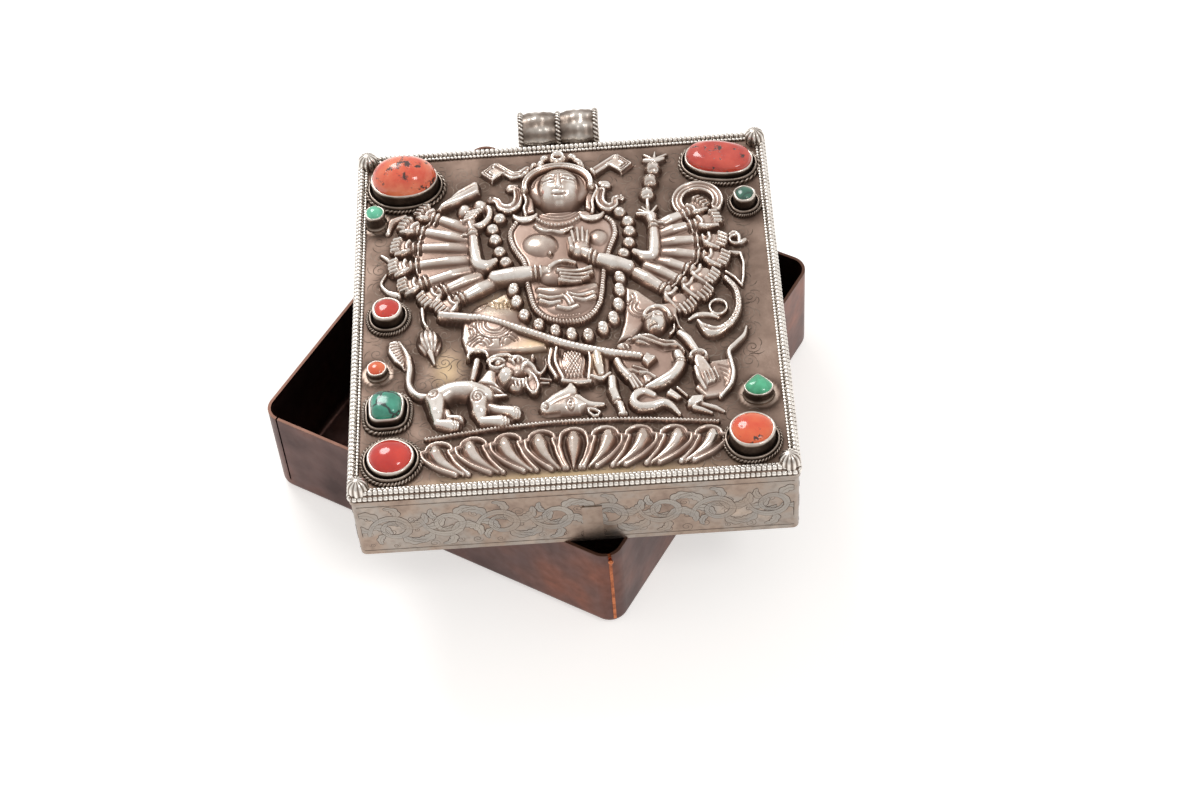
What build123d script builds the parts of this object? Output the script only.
"""Ghau amulet box: a silver cover with a chased front plate, laid askew on its open copper tray.

Millimetres, +Z up. The origin is the centre of the tray's underside, and X and Y run along the
cover's width and length, with the suspension tube on the +Y side.
"""
from build123d import *
from math import cos, radians, sin
import os

os.makedirs("parts", exist_ok=True)

# Cover: one silver strip bent round as the wall, with the front plate soldered on its top edge
cover_width = 110.0
cover_length = 116.0
cover_sheet = 0.9
cover_corner = 1.6
wall_height = 22.7
plate_sheet = 0.8

# Thin strip round the wall under the beaded wires, and the lap where the wall's ends meet
ledge_height = 1.4
ledge_proud = 0.35
ledge_drop = 1.0
lap_width = 5.0
lap_height = 13.0
lap_proud = 0.35
lap_offset = 3.8
lap_foot = 1.2

# Beaded border wires: one on the plate's edge, one outside it and a finer one inside
wire_top_width = 1.4
wire_top_height = 1.5
wire_outer_proud = 0.6
wire_outer_height = 1.5
wire_inner_width = 0.9
wire_inner_height = 0.8
wire_round = 0.35

# Domed bosses over the four corners
boss_radius = 2.7
boss_inset = 2.3
boss_foot = 1.33
boss_gap = 0.05

# Copper tray that the cover closes over, and how the opened cover lies on its rim
tray_sheet = 0.8
tray_height = 29.8
tray_corner = 5.0
tray_fold = 2.5
tray_clearance = 1.0
tray_turn = -31.38
cover_shift_x = 8.36
cover_shift_y = -10.39
slit_width = 0.5
slit_foot = 4.0
slit_reach = 1.6
seam_width = 0.8
seam_proud = 0.25
seam_rim_gap = 0.3
seam_bead = 0.7
seam_turn = -45.0

# Suspension tube behind the back wall
tube_length = 22.0
tube_bore_radius = 4.3
tube_neck_radius = 5.0
tube_lobe_radius = 5.3
tube_bulge = 0.8
tube_ring_width = 1.5
tube_ring_proud = 1.0
tube_standoff = 0.2
tube_drop = 0.2
tube_shift = -0.5
solder_length = 16.0
solder_height = 5.2
solder_gap = 0.05

# Stone settings
stone_seat = 1.0
stone_gap = 0.05
flange_height = 0.8
flange_width = 0.4
cup_flange_width = 0.3
ring_width = 0.7
ring_height = 1.7
rope_height = 1.1
pillow_round = 2.2
pillow_corner_share = 0.33
table_shoulder_share = 0.92
table_shoulder_rise = 0.6
table_share = 0.62

# Relief on the plate: body, limbs and the loops hung round the torso
body_height = 1.6
neck_rise = 8.0
breast_radius = 5.4
breast_sink = 0.6
belly_radius = 11.0
belly_sink = 7.4
limb_swell = 1.03
upper_arm_radius = 2.5
forearm_radius = 1.8
wrist_radius = 1.4
fist_radius = 2.2
palm_radius = 2.8
finger_radius = 1.5
front_arm_lift = 2.6
front_elbow_lift = 0.8
loop_centre_share = 42.0
rope_radius = 0.7
rope_half_width = 13.2
rope_half_drop = 29.0
garland_radius = 1.45
garland_half_width = 18.0
garland_half_drop = 34.5
garland_count = 25
garland_start = -12.0
garland_breaks = ((15.0, 27.0), (150.0, 165.0))

# Relief: head, crown and scarf
head_radius = 7.0
head_length = 19.4
arch_width = 2.4
arch_gap = 0.3
arch_height = 3.0
crown_disc_radius = 2.3
crown_disc_height = 3.8
earring_radius = 3.2
earring_height = 1.8
lobe_radius = 1.2
lobe_spread_share = 15.0
lobe_drop_share = 15.0
scarf_side = 6.6
scarf_height = 1.4
scarf_turn = 45.0

# Relief: lance, animals, kneeling figure and what the hands hold
lance_radius = 1.1
lance_head_side = 4.4
lance_head_turn = 30.0
lion_body_radius = 5.2
lion_body_sink = 1.6
lion_leg_radius = 2.4
lion_paw_radius = 1.9
lion_head_radius = 4.6
lion_muzzle_radius = 2.8
tail_radius = 1.1
tail_tip_radius = 0.6
goat_nose_radius = 1.7
goat_brow_radius = 3.0
kneeler_head_radius = 3.6
kneeler_back_radius = 9.0
kneeler_back_sink = 5.6
kneeler_limb_radius = 1.7
skin_height = 0.8
foot_length = 11.0
foot_width = 5.6
foot_height = 2.4
foot_turn = 12.0
foot_corner_share = 0.33
skull_radius = 2.3
shield_outer = 6.2
shield_inner = 3.6
shield_height = 1.4
bud_radius = 3.0
noose_radius = 1.7
staff_radius = 0.8

# Relief: lotus seat
lotus_wire_radius = 0.55
petal_count = 9
petal_pitch_share = 15.6
petal_head_share = -78.0
petal_foot_share = -90.0
petal_tail_share = 0.8
petal_radius = 2.1
petal_tip_radius = 0.5
petal_bed_height = 0.7

# Levels and extents that follow from the sizes above
plate_bottom = wall_height
plate_top = plate_bottom + plate_sheet
half_width = cover_width / 2
half_length = cover_length / 2
tray_width = cover_width - 2 * (cover_sheet + tray_clearance)
tray_length = cover_length - 2 * (cover_sheet + tray_clearance)
relief_ceiling = 2 * head_radius
head_half = head_length / 2
wire_outer_foot = plate_top - wire_outer_height
ledge_foot = wire_outer_foot - ledge_drop - ledge_height / 2
loop_centre_y = loop_centre_share / 100 * half_length

cover_place = Pos(cover_shift_x, cover_shift_y, tray_height)
standing = (Align.CENTER, Align.CENTER, Align.MIN)
on_plate = Pos(0, 0, plate_top)
tray_place = Rot(0, 0, tray_turn)


def spot(u, v):
    """Place on the plate, given as percent of its half width and half length from the centre."""
    return u / 100 * half_width, v / 100 * half_length


def save(name, shape, place):
    """Write one piece where it lies in the assembly."""
    export_step(place * shape, f"parts/{name}.step")


# Copper tray: one sheet folded up into a pan, open at one corner slit and soldered at the next


def pan_block(grow, foot):
    """Rounded block of the tray's plan, shrunk by grow, standing on foot."""
    plan = RectangleRounded(tray_width - 2 * grow, tray_length - 2 * grow, tray_corner - grow)
    block = Pos(0, 0, foot) * extrude(plan, tray_height - foot)
    return fillet(block.faces().sort_by(Axis.Z)[0].edges(), tray_fold - grow)


slit_x = -(tray_width / 2 - tray_corner)
slit_cut = Box(slit_width, 2 * slit_reach, tray_height, align=standing)
slit = Pos(slit_x, -tray_length / 2, slit_foot) * slit_cut
seam_place = Pos(tray_width / 2 - tray_corner, -(tray_length / 2 - tray_corner), tray_fold) * Rot(0, 0, seam_turn)
seam_reach = tray_sheet + seam_proud
seam_bar_height = tray_height - tray_fold - seam_rim_gap
seam_start = tray_corner - tray_sheet
seam_align = (Align.MIN, Align.CENTER, Align.MIN)
seam_cut = Box(tray_corner, seam_width, tray_height, align=seam_align)
seam_slot = seam_place * Pos(seam_start / 2, 0, 0) * seam_cut
tray_pan = pan_block(0, 0) - pan_block(tray_sheet, tray_sheet) - slit - seam_slot
seam_bar = Pos(seam_start, 0, 0) * Box(seam_reach, seam_width, seam_bar_height, align=seam_align)
bead_place = Pos(tray_corner + seam_bead + solder_gap, 0, seam_bar_height - 2 * seam_bead)
tray_corner_solder = seam_place * (seam_bar + bead_place * Sphere(seam_bead))

save("tray_pan", tray_pan, tray_place)
save("tray_corner_solder", tray_corner_solder, tray_place)

# Cover wall, its lapped seam, the strip under the wires and the flat of the front plate

cover_plan = RectangleRounded(cover_width, cover_length, cover_corner)
wall_inside = Rectangle(cover_width - 2 * cover_sheet, cover_length - 2 * cover_sheet)
cover_wall = extrude(cover_plan - wall_inside, wall_height)
lap_align = (Align.CENTER, Align.MAX, Align.MIN)
lap_strip = Box(lap_width, lap_proud, lap_height, align=lap_align)
wall_lap_seam = Pos(lap_offset, -half_length, lap_foot) * lap_strip
front_plate = Pos(0, 0, plate_bottom) * extrude(cover_plan, plate_sheet)


def outer_band(proud, foot, height):
    """Band of the given height lying round the outside of the cover."""
    outside = RectangleRounded(cover_width + 2 * proud, cover_length + 2 * proud, cover_corner + proud)
    return Pos(0, 0, foot) * extrude(outside - cover_plan, height)


def inner_band(outset, width, height):
    """Band on the plate whose outer side lies outset inside the cover's edge."""
    outside = Rectangle(cover_width - 2 * outset, cover_length - 2 * outset)
    if outset == 0:
        outside = cover_plan
    inside = Rectangle(cover_width - 2 * (outset + width), cover_length - 2 * (outset + width))
    band = Pos(0, 0, plate_top) * extrude(outside - inside, height)
    return fillet(band.faces().sort_by(Axis.Z)[-1].edges(), wire_round)


corner_spots = [
    Pos(side * (half_width - boss_inset), end * (half_length - boss_inset), plate_top)
    for side in (-1, 1)
    for end in (-1, 1)
]
boss_well = Cylinder(boss_radius + boss_gap, relief_ceiling, align=standing)
boss_wells = [place * boss_well for place in corner_spots]
boss_dome = Sphere(boss_radius, arc_size1=0, align=standing)
corner_boss = Cylinder(boss_radius, boss_foot, align=standing) + Pos(0, 0, boss_foot) * boss_dome

save("cover_wall", cover_wall, cover_place)
save("wall_lap_seam", wall_lap_seam, cover_place)
save("wall_ledge", outer_band(ledge_proud, ledge_foot, ledge_height), cover_place)
save("front_plate", front_plate, cover_place)
save("border_wire_outer", outer_band(wire_outer_proud, wire_outer_foot, wire_outer_height), cover_place)
save("corner_bosses", Compound([place * corner_boss for place in corner_spots]), cover_place)

# Suspension tube: two bulged lobes with a wire ring at each end and one in the valley between

tube_lobe_length = (tube_length - 3 * tube_ring_width) / 2
tube_centre_y = half_length + wire_outer_proud + tube_standoff + tube_lobe_radius + tube_bulge
tube_place = Pos(tube_shift, tube_centre_y, plate_bottom - tube_drop)
tube_half = tube_length / 2


def lobe_face(start):
    """Half section of one bulged lobe from start along the tube, down to the bore."""
    end = start + tube_lobe_length
    crown = ((start + end) / 2, tube_lobe_radius + tube_bulge)
    near = (start, tube_lobe_radius)
    far = (end, tube_lobe_radius)
    bore_side = Polyline(far, (end, tube_bore_radius), (start, tube_bore_radius), near)
    return make_face(ThreePointArc(near, crown, far) + bore_side)


def neck_face(start):
    """Half section of the plain neck that carries a ring, from start along the tube."""
    neck = Rectangle(tube_ring_width, tube_neck_radius - tube_bore_radius, align=(Align.MIN, Align.MIN))
    return Pos(start, tube_bore_radius) * neck


def tube_ring(start):
    """Wire ring that lies round a neck, from start along the tube."""
    inner = tube_neck_radius + solder_gap
    ring = Pos(start, inner) * Rectangle(tube_ring_width, tube_ring_proud, align=(Align.MIN, Align.MIN))
    return revolve(ring, Axis.X)


ring_starts = [-tube_half + count * (tube_ring_width + tube_lobe_length) for count in range(3)]
tube_faces = [neck_face(start) for start in ring_starts]
tube_faces += [lobe_face(start + tube_ring_width) for start in ring_starts[:2]]
suspension_tube = Part() + [revolve(face, Axis.X) for face in tube_faces]
tube_bed = Rot(0, 90, 0) * Cylinder(tube_lobe_radius + tube_bulge + solder_gap, 2 * tube_length)
solder_block = Pos(tube_shift, half_length, ledge_foot) * Box(
    solder_length, tube_lobe_radius, solder_height, align=(Align.CENTER, Align.MIN, Align.MAX)
)

save("suspension_tube", suspension_tube, cover_place * tube_place)
for name, start in zip(("left", "middle", "right"), ring_starts):
    save(f"tube_ring_{name}", tube_ring(start), cover_place * tube_place)
save("tube_solder", solder_block - tube_place * tube_bed, cover_place)

# Stone settings: each stone sits in a bezel cup, most of them inside a ring with a rope collar
# name: place and stone size as shares of the plate, bezel wall, rim height, dome, rope width, cut
settings = {
    "back_left_coral": ((-77, 78), 0, (31.5, 22.8), 0.35, 4.5, 6.0, 0.85, "dome"),
    "back_left_turquoise": ((-91, 57.5), 0, (8.4, 7.9), 0.3, 4.3, 1.5, None, "dome"),
    "left_coral": ((-84, -1.5), 0, (11.5, 10.9), 0.75, 4.2, 1.2, 0.85, "dome"),
    "left_small_coral": ((-88.5, -33), 0, (8.0, 7.6), 0.35, 2.3, 1.2, None, "dome"),
    "left_turquoise": ((-83.5, -56), 0, (14.2, 14.7), 0.55, 3.2, 2.8, 0.9, "square"),
    "front_left_coral": ((-81.3, -82.8), 0, (19.3, 17.2), 0.6, 2.4, 2.8, 0.85, "dome"),
    "back_right_coral": ((77, 81), -12, (32.0, 19.0), 0.4, 2.8, 2.6, 0.8, "table"),
    "back_right_turquoise": ((87.6, 54.6), 0, (8.9, 8.4), 0.5, 4.3, 1.2, 0.4, "dome"),
    "right_turquoise": ((85.3, -57.6), 0, (12.4, 10.3), 0.3, 3.2, 1.6, None, "dome"),
    "front_right_coral": ((80.4, -83.4), 0, (18.5, 16.6), 0.6, 5.0, 2.2, 0.6, "dome"),
}


def outline(length, width, cut):
    """Plan of a setting: an ellipse, or a rounded square for a squared stone."""
    if cut == "square":
        return RectangleRounded(length, width, pillow_corner_share * length)
    return Ellipse(length / 2, width / 2)


def cut_stone(length, width, dome, cut):
    """Stone standing on its seat, with a domed, table-cut or pillow top above the bezel's rim."""
    if cut == "square":
        block = extrude(outline(length, width, cut), stone_seat + dome)
        return fillet(block.faces().sort_by(Axis.Z)[-1].edges(), pillow_round)
    half = length / 2
    top = stone_seat + dome
    if cut == "table":
        rise = stone_seat + table_shoulder_rise * dome
        edge = (table_shoulder_share * half, rise)
        shoulder = Polyline((half, stone_seat), edge, (table_share * half, top), (0, top))
    else:
        shoulder = Pos(0, stone_seat) * EllipticalCenterArc((0, 0), half, dome, 0, arc_size=90)
    rest = Polyline((0, top), (0, 0), (half, 0), (half, stone_seat))
    solid = revolve(Plane.XZ * make_face(shoulder + rest), Axis.Z)
    return scale(solid, by=(1, width / length, 1))


settings_reach = []
for name, (place, turn, size, wall, rim, dome, rope_width, cut) in settings.items():
    length, width = spot(*size)
    seat = Pos(*spot(*place), plate_top) * Rot(0, 0, turn)
    flange = flange_width if rope_width else cup_flange_width
    cup_size = [side + 2 * (stone_gap + wall) for side in (length, width)]
    foot_size = [side + 2 * flange for side in cup_size]
    foot = extrude(outline(*foot_size, cut), flange_height)
    cup = extrude(outline(*cup_size, cut), rim)
    hollow = extrude(outline(length + 2 * stone_gap, width + 2 * stone_gap, cut), stone_seat)
    save(f"{name}_bezel", seat * (foot + cup - Pos(0, 0, rim - stone_seat) * hollow), cover_place)
    stone = Pos(0, 0, rim - stone_seat) * cut_stone(length, width, dome, cut)
    save(f"{name}_stone", seat * stone, cover_place)
    reach = foot
    if rope_width:
        bore_size = [side + 2 * stone_gap for side in foot_size]
        ring_size = [side + 2 * ring_width for side in bore_size]
        rope_size = [side + 2 * rope_width for side in ring_size]
        reach = extrude(outline(*rope_size, cut), rope_height) + extrude(outline(*ring_size, cut), ring_height)
        save(f"{name}_collar", seat * (reach - extrude(outline(*bore_size, cut), ring_height)), cover_place)
    settings_reach.append(seat * reach)

# The wires on the plate stop at the bosses and at the settings that reach the border
border_stops = boss_wells + settings_reach
wire_top = inner_band(0, wire_top_width, wire_top_height)
wire_inner = inner_band(wire_top_width, wire_inner_width, wire_inner_height)
save("border_wire_top", wire_top - border_stops, cover_place)
save("border_wire_inner", wire_inner - border_stops, cover_place)

# Relief: the forms raised on the plate, each with a flat back

over_plate = on_plate * Box(cover_width, cover_length, relief_ceiling, align=standing)


def ball(place, radius, lift=0):
    """Ball whose centre stands lift above the plate."""
    return Pos(*spot(*place), plate_top + lift) * Sphere(radius)


def bar(start, end, radius, end_radius, lift=0, end_lift=0):
    """Round bar between two places, tapering from radius to end_radius."""
    first = Vector(*spot(*start), plate_top + lift)
    last = Vector(*spot(*end), plate_top + end_lift)
    axis = last - first
    frame = Plane(origin=(first + last) * 0.5, z_dir=axis)
    if radius == end_radius:
        return frame * Cylinder(radius, axis.length)
    return frame * Cone(radius, end_radius, axis.length)


def limb(places, radii, lifts=None):
    """Bars through the places, with a ball at each bend and at the far end."""
    lifts = lifts or [0] * len(places)
    stops = list(zip(places, radii, lifts))
    shapes = []
    for (start, radius, lift), (end, end_radius, end_lift) in zip(stops, stops[1:]):
        shapes.append(bar(start, end, radius, end_radius, lift, end_lift))
        shapes.append(ball(end, end_radius * limb_swell, end_lift))
    return shapes


def pad(places, height):
    """Flat raised field inside a closed outline."""
    edge = Polyline(*[spot(*place) for place in places], close=True)
    return on_plate * extrude(make_face(edge), height)


def raised(shapes, *neighbours, level=0):
    """Join the forms, keep what stands above the given level of the plate and clear the neighbours."""
    form = shapes[0].fuse(*shapes[1:]) if len(shapes) > 1 else shapes[0]
    form = form & (Pos(0, 0, level) * over_plate)
    return form.cut(*neighbours) if neighbours else form


def save_relief(name, form):
    """Write one relief form, or a group of like ones, on the cover."""
    save(name, form, cover_place)
    return form


# Torso inside the rope necklace, with chest and belly, and the rope itself


def hanging_loop(half_wide, drop, angle):
    """Place on a loop that hangs round the torso, at an angle from its right-hand end."""
    return half_wide * cos(radians(angle)), loop_centre_y - drop * sin(radians(angle))


def loop_plan(inset):
    """Plan of the rope loop, shrunk by inset and cut off at the neck."""
    loop = Pos(0, loop_centre_y) * Ellipse(rope_half_width - inset, rope_half_drop - inset)
    below_neck = Rectangle(cover_width, cover_length, align=(Align.CENTER, Align.MAX))
    return loop & (Pos(0, loop_centre_y + neck_rise) * below_neck)


torso_column = on_plate * extrude(loop_plan(2 * rope_radius), relief_ceiling)
torso_field = on_plate * extrude(loop_plan(2 * rope_radius), body_height)
torso_forms = [
    ball((-12, 36), breast_radius, -breast_sink) & torso_column,
    ball((15, 40), breast_radius, -breast_sink) & torso_column,
    ball((1, 3), belly_radius, -belly_sink) & torso_column,
]
torso = save_relief("figure_torso", raised([torso_field] + torso_forms))
rope_plan = loop_plan(-rope_radius) - loop_plan(rope_radius)
necklace_rope = save_relief("necklace_rope", on_plate * extrude(rope_plan, 2 * rope_radius))

# Garland of small heads on a wider loop, left out where the front arms cross it

garland = []
for count in range(garland_count):
    angle = garland_start + count * (180 - 2 * garland_start) / (garland_count - 1)
    if not any(low < angle < high for low, high in garland_breaks):
        x, y = hanging_loop(garland_half_width, garland_half_drop, angle)
        garland.append((Pos(x, y, plate_top) * Sphere(garland_radius)) & over_plate)
save_relief("head_garland", Compound(garland))

# Head, with the hair arch, crown disc and earrings round it, and the scarf ends beside it

head_spot = (-2.4, 66.5)
head_place = Pos(*spot(*head_spot), plate_top)
head_side = EllipticalCenterArc((0, 0), head_radius, head_half, -90, arc_size=180)
head_outline = make_face(head_side + Line((0, head_half), (0, -head_half)))
head_form = head_place * revolve(head_outline, Axis.Y)
head = save_relief("figure_head", raised([head_form], torso, necklace_rope))
arch_inside = Ellipse(head_radius + arch_gap, head_half + arch_gap)
arch_outside = Ellipse(head_radius + arch_gap + arch_width, head_half + arch_gap + arch_width)
above_chin = Rectangle(cover_width, cover_length, align=(Align.CENTER, Align.MIN))
hair_arch = head_place * extrude((arch_outside - arch_inside) & above_chin, arch_height)
crown_disc = Cylinder(crown_disc_radius, crown_disc_height, align=standing)
crown_forms = [hair_arch, head_place * Pos(0, head_half + arch_gap + arch_width, 0) * crown_disc]
for side in (-1, 1):
    lobe_top = (head_spot[0] + side * lobe_spread_share, head_spot[1])
    lobe_end = (lobe_top[0], lobe_top[1] - lobe_drop_share)
    crown_forms.append(bar(lobe_top, lobe_end, lobe_radius, lobe_radius))
    crown_forms.append(Pos(*spot(*lobe_end), plate_top) * Cylinder(earring_radius, 2 * earring_height))
crown = save_relief("figure_crown", raised(crown_forms, head_form, torso, necklace_rope, *garland))
scarf_ends = []
for place, knot in (((-33, 82), (-17, 79)), ((27, 84), (13, 79))):
    square = Rot(0, 0, scarf_turn) * extrude(Rectangle(scarf_side, scarf_side), scarf_height)
    tail = bar(place, knot, scarf_height, scarf_height)
    scarf_ends.append(raised([Pos(*spot(*place), plate_top) * square, tail], crown))
save_relief("scarf_ends", Compound(scarf_ends))

# Arms: raised arm, front arm and a fan of forearms on each side, each forearm from elbow to fist

fan_left = [
    ((-45, 47), (-64, 58), (-69, 62)),
    ((-45, 42), (-71, 51), (-78, 55)),
    ((-44, 36.5), (-73, 40), (-81, 42)),
    ((-43, 30), (-73, 29), (-82, 29)),
    ((-42, 25.5), (-69, 18), (-78, 17)),
    ((-38, 21), (-60, 11), (-68, 5)),
    ((-36, 18), (-52, 6), (-60, 1)),
]
fan_right = [
    ((43.5, 43), (61, 51), (68, 57)),
    ((43, 38.5), (64, 44), (74, 46)),
    ((42.5, 34), (66, 34), (75, 32)),
    ((42, 29), (66, 24), (76, 20)),
    ((41, 25), (61, 15), (70, 9)),
    ((38, 22), (56, 8), (66, 0)),
    ((36, 18), (48, 4), (57, -6)),
]


def fan_of_arms(forearms):
    """Forearms that taper to the wrist and end in fists."""
    shapes = []
    for forearm in forearms:
        shapes += limb(forearm, (forearm_radius, wrist_radius, fist_radius))
    return shapes


raised_arm_radii = (upper_arm_radius, upper_arm_radius, wrist_radius, fist_radius)
raised_left = limb(((-30, 30), (-40, 26), (-44, 47), (-45.5, 55)), raised_arm_radii)
raised_right = limb(((33, 30), (41, 26), (43, 44), (42, 51)), raised_arm_radii)
front_lifts = (front_elbow_lift, front_arm_lift, front_arm_lift)
hand_radii = (forearm_radius, wrist_radius, fist_radius)
palm_radii = (forearm_radius, wrist_radius, palm_radius)
front_left = limb(((-38, 21), (-14.5, 17.5), (3, 15.5)), hand_radii, front_lifts)
front_right = limb(((39, 22), (13, 25), (7, 31)), palm_radii, front_lifts)
fingers = [bar((7, 31), (7, 40), palm_radius, finger_radius, front_arm_lift, front_arm_lift)]
around_torso = [torso, necklace_rope, crown] + garland
left_forms = fan_of_arms(fan_left) + raised_left + front_left
right_forms = fan_of_arms(fan_right) + raised_right + front_right + fingers
arms_left = raised(left_forms, *around_torso, *settings_reach)
arms_right = raised(right_forms, *around_torso, *settings_reach)
save_relief("figure_arms_left", arms_left)
save_relief("figure_arms_right", arms_right)

# Skirt over the crossed legs, and the lance that lies across it

skirt_outline = [
    (-48, -6), (-33, 7), (-28, 4), (-25, -9), (-18, -19), (-7, -24), (6, -26.5), (16, -26), (22, -29),
    (18, -44), (-4, -44), (-11, -35), (-33, -28), (-47, -25),
]
skirt = save_relief("figure_skirt", raised([pad(skirt_outline, body_height)], arms_left, *garland))
lance_route = [(-59, -5.5), (-36, -8), (-20, -15), (0, -25.5), (18, -31.5), (33, -35.5)]
lance_forms = limb(lance_route, [lance_radius] * len(lance_route), [body_height] * len(lance_route))
lance_head = Pos(*spot(*lance_route[-1]), plate_top + body_height) * Rot(0, 0, lance_head_turn) * extrude(
    Rectangle(lance_head_side, lance_head_side), lance_radius
)
lance = save_relief("lance", raised(lance_forms + [lance_head], arms_left, *garland, level=body_height))

# Lion under the lance, the goat's head and the kneeling figure

lion_forms = [
    *limb(((-58, -51), (-37, -49)), [lion_body_radius] * 2, [-lion_body_sink] * 2),
    ball((-58, -51), lion_body_radius, -lion_body_sink),
    *limb(((-60, -53), (-60, -63), (-52, -65)), (lion_leg_radius, lion_paw_radius, lion_paw_radius)),
    *limb(((-39, -53), (-38, -62), (-26, -61)), (lion_leg_radius, lion_paw_radius, lion_paw_radius)),
    *limb(((-37, -48), (-27, -40), (-20, -38)), (lion_leg_radius, lion_head_radius, lion_muzzle_radius)),
    *limb(((-64, -50), (-72, -44), (-74, -32), (-79, -18)), [tail_radius] * 3 + [tail_tip_radius]),
]
lion = save_relief("lion", raised(lion_forms, skirt, lance, *settings_reach))
goat_forms = limb(((-12, -61), (1, -57)), (goat_nose_radius, goat_brow_radius))
goat = save_relief("goat_head", raised(goat_forms, skirt, lion))
kneeler_limbs = [
    ((51, -33), (45, -47), (35, -50)),
    ((23, -37), (29, -48), (35, -50)),
    ((38, -40), (29, -55), (45, -62)),
    ((24, -40), (19, -50), (23, -63)),
]
kneeler_back = ball((38, -29), kneeler_back_radius, -kneeler_back_sink)
kneeler_forms = [ball((41, -15), kneeler_head_radius), kneeler_back]
for places in kneeler_limbs:
    kneeler_forms += limb(places, [kneeler_limb_radius] * len(places))
kneeler = save_relief("kneeling_figure", raised(kneeler_forms, skirt, lance, goat, arms_right))

# Draped skin with the large foot hanging in front of it

skin_outline = [
    (55, -22), (60, -33), (73, -32), (82, -20), (80, -30), (75, -40), (75, -49), (68, -59), (58, -65),
    (53, -59), (56, -44),
]
foot_place = Pos(*spot(62, -44), plate_top) * Rot(0, 0, foot_turn)
foot = foot_place * extrude(RectangleRounded(foot_width, foot_length, foot_corner_share * foot_width), foot_height)
skin = raised([pad(skin_outline, skin_height), foot], kneeler, arms_right, *settings_reach)
save_relief("draped_skin", skin)

# What the hands hold: chopper and bowl, staff of heads, shield, bud and noose

beside_arms = [arms_left, arms_right, crown, kneeler, skin, lion, *scarf_ends, *settings_reach]
shield_plan = Circle(shield_outer) - Circle(shield_inner)
staff = bar((42, 52), (46, 86), staff_radius, staff_radius)
staff_heads = [ball(place, skull_radius) for place in ((41.5, 63), (44, 71), (46, 79))]
held_things = [
    [bar((-62, 60), (-42, 71), staff_radius, skull_radius)],
    [ball((-40, 60), bud_radius, -staff_radius)],
    [staff] + staff_heads,
    [Pos(*spot(65, 56), plate_top) * extrude(shield_plan, shield_height)],
    [ball((-64.5, -15), bud_radius), bar((-64.5, -15), (-63, -25), bud_radius, staff_radius)],
    limb(((74, 6), (80, -2), (78, -14), (71, -20), (63, -21)), [noose_radius] * 5),
]
save_relief("held_attributes", Compound([raised(shapes, *beside_arms) for shapes in held_things]))

# Lotus seat: a beaded wire over a row of petals, upright in the middle and leaning in at the sides

wire_path = on_plate * ThreePointArc(spot(-66, -71.5), spot(0, -66.5), spot(66, -71.5))
wire_section = Plane(origin=wire_path @ 0, z_dir=wire_path % 0) * Circle(lotus_wire_radius)
on_the_seat = [lion, goat, kneeler, skin, *settings_reach]
lotus_wire = save_relief("lotus_wire", raised([sweep(wire_section, wire_path)], *on_the_seat))
petal_bed = [(-64, -75), (0, -69), (64, -75), (64, -91), (-64, -91)]
petal_forms = [pad(petal_bed, petal_bed_height)]
for count in range(petal_count):
    across = (count - (petal_count - 1) / 2) * petal_pitch_share
    petal_head = (across, petal_head_share)
    petal_tail = (across * petal_tail_share, petal_foot_share)
    petal_forms.append(ball(petal_head, petal_radius))
    petal_forms.append(bar(petal_head, petal_tail, petal_radius, petal_tip_radius))
save_relief("lotus_petals", raised(petal_forms, lotus_wire, *settings_reach))
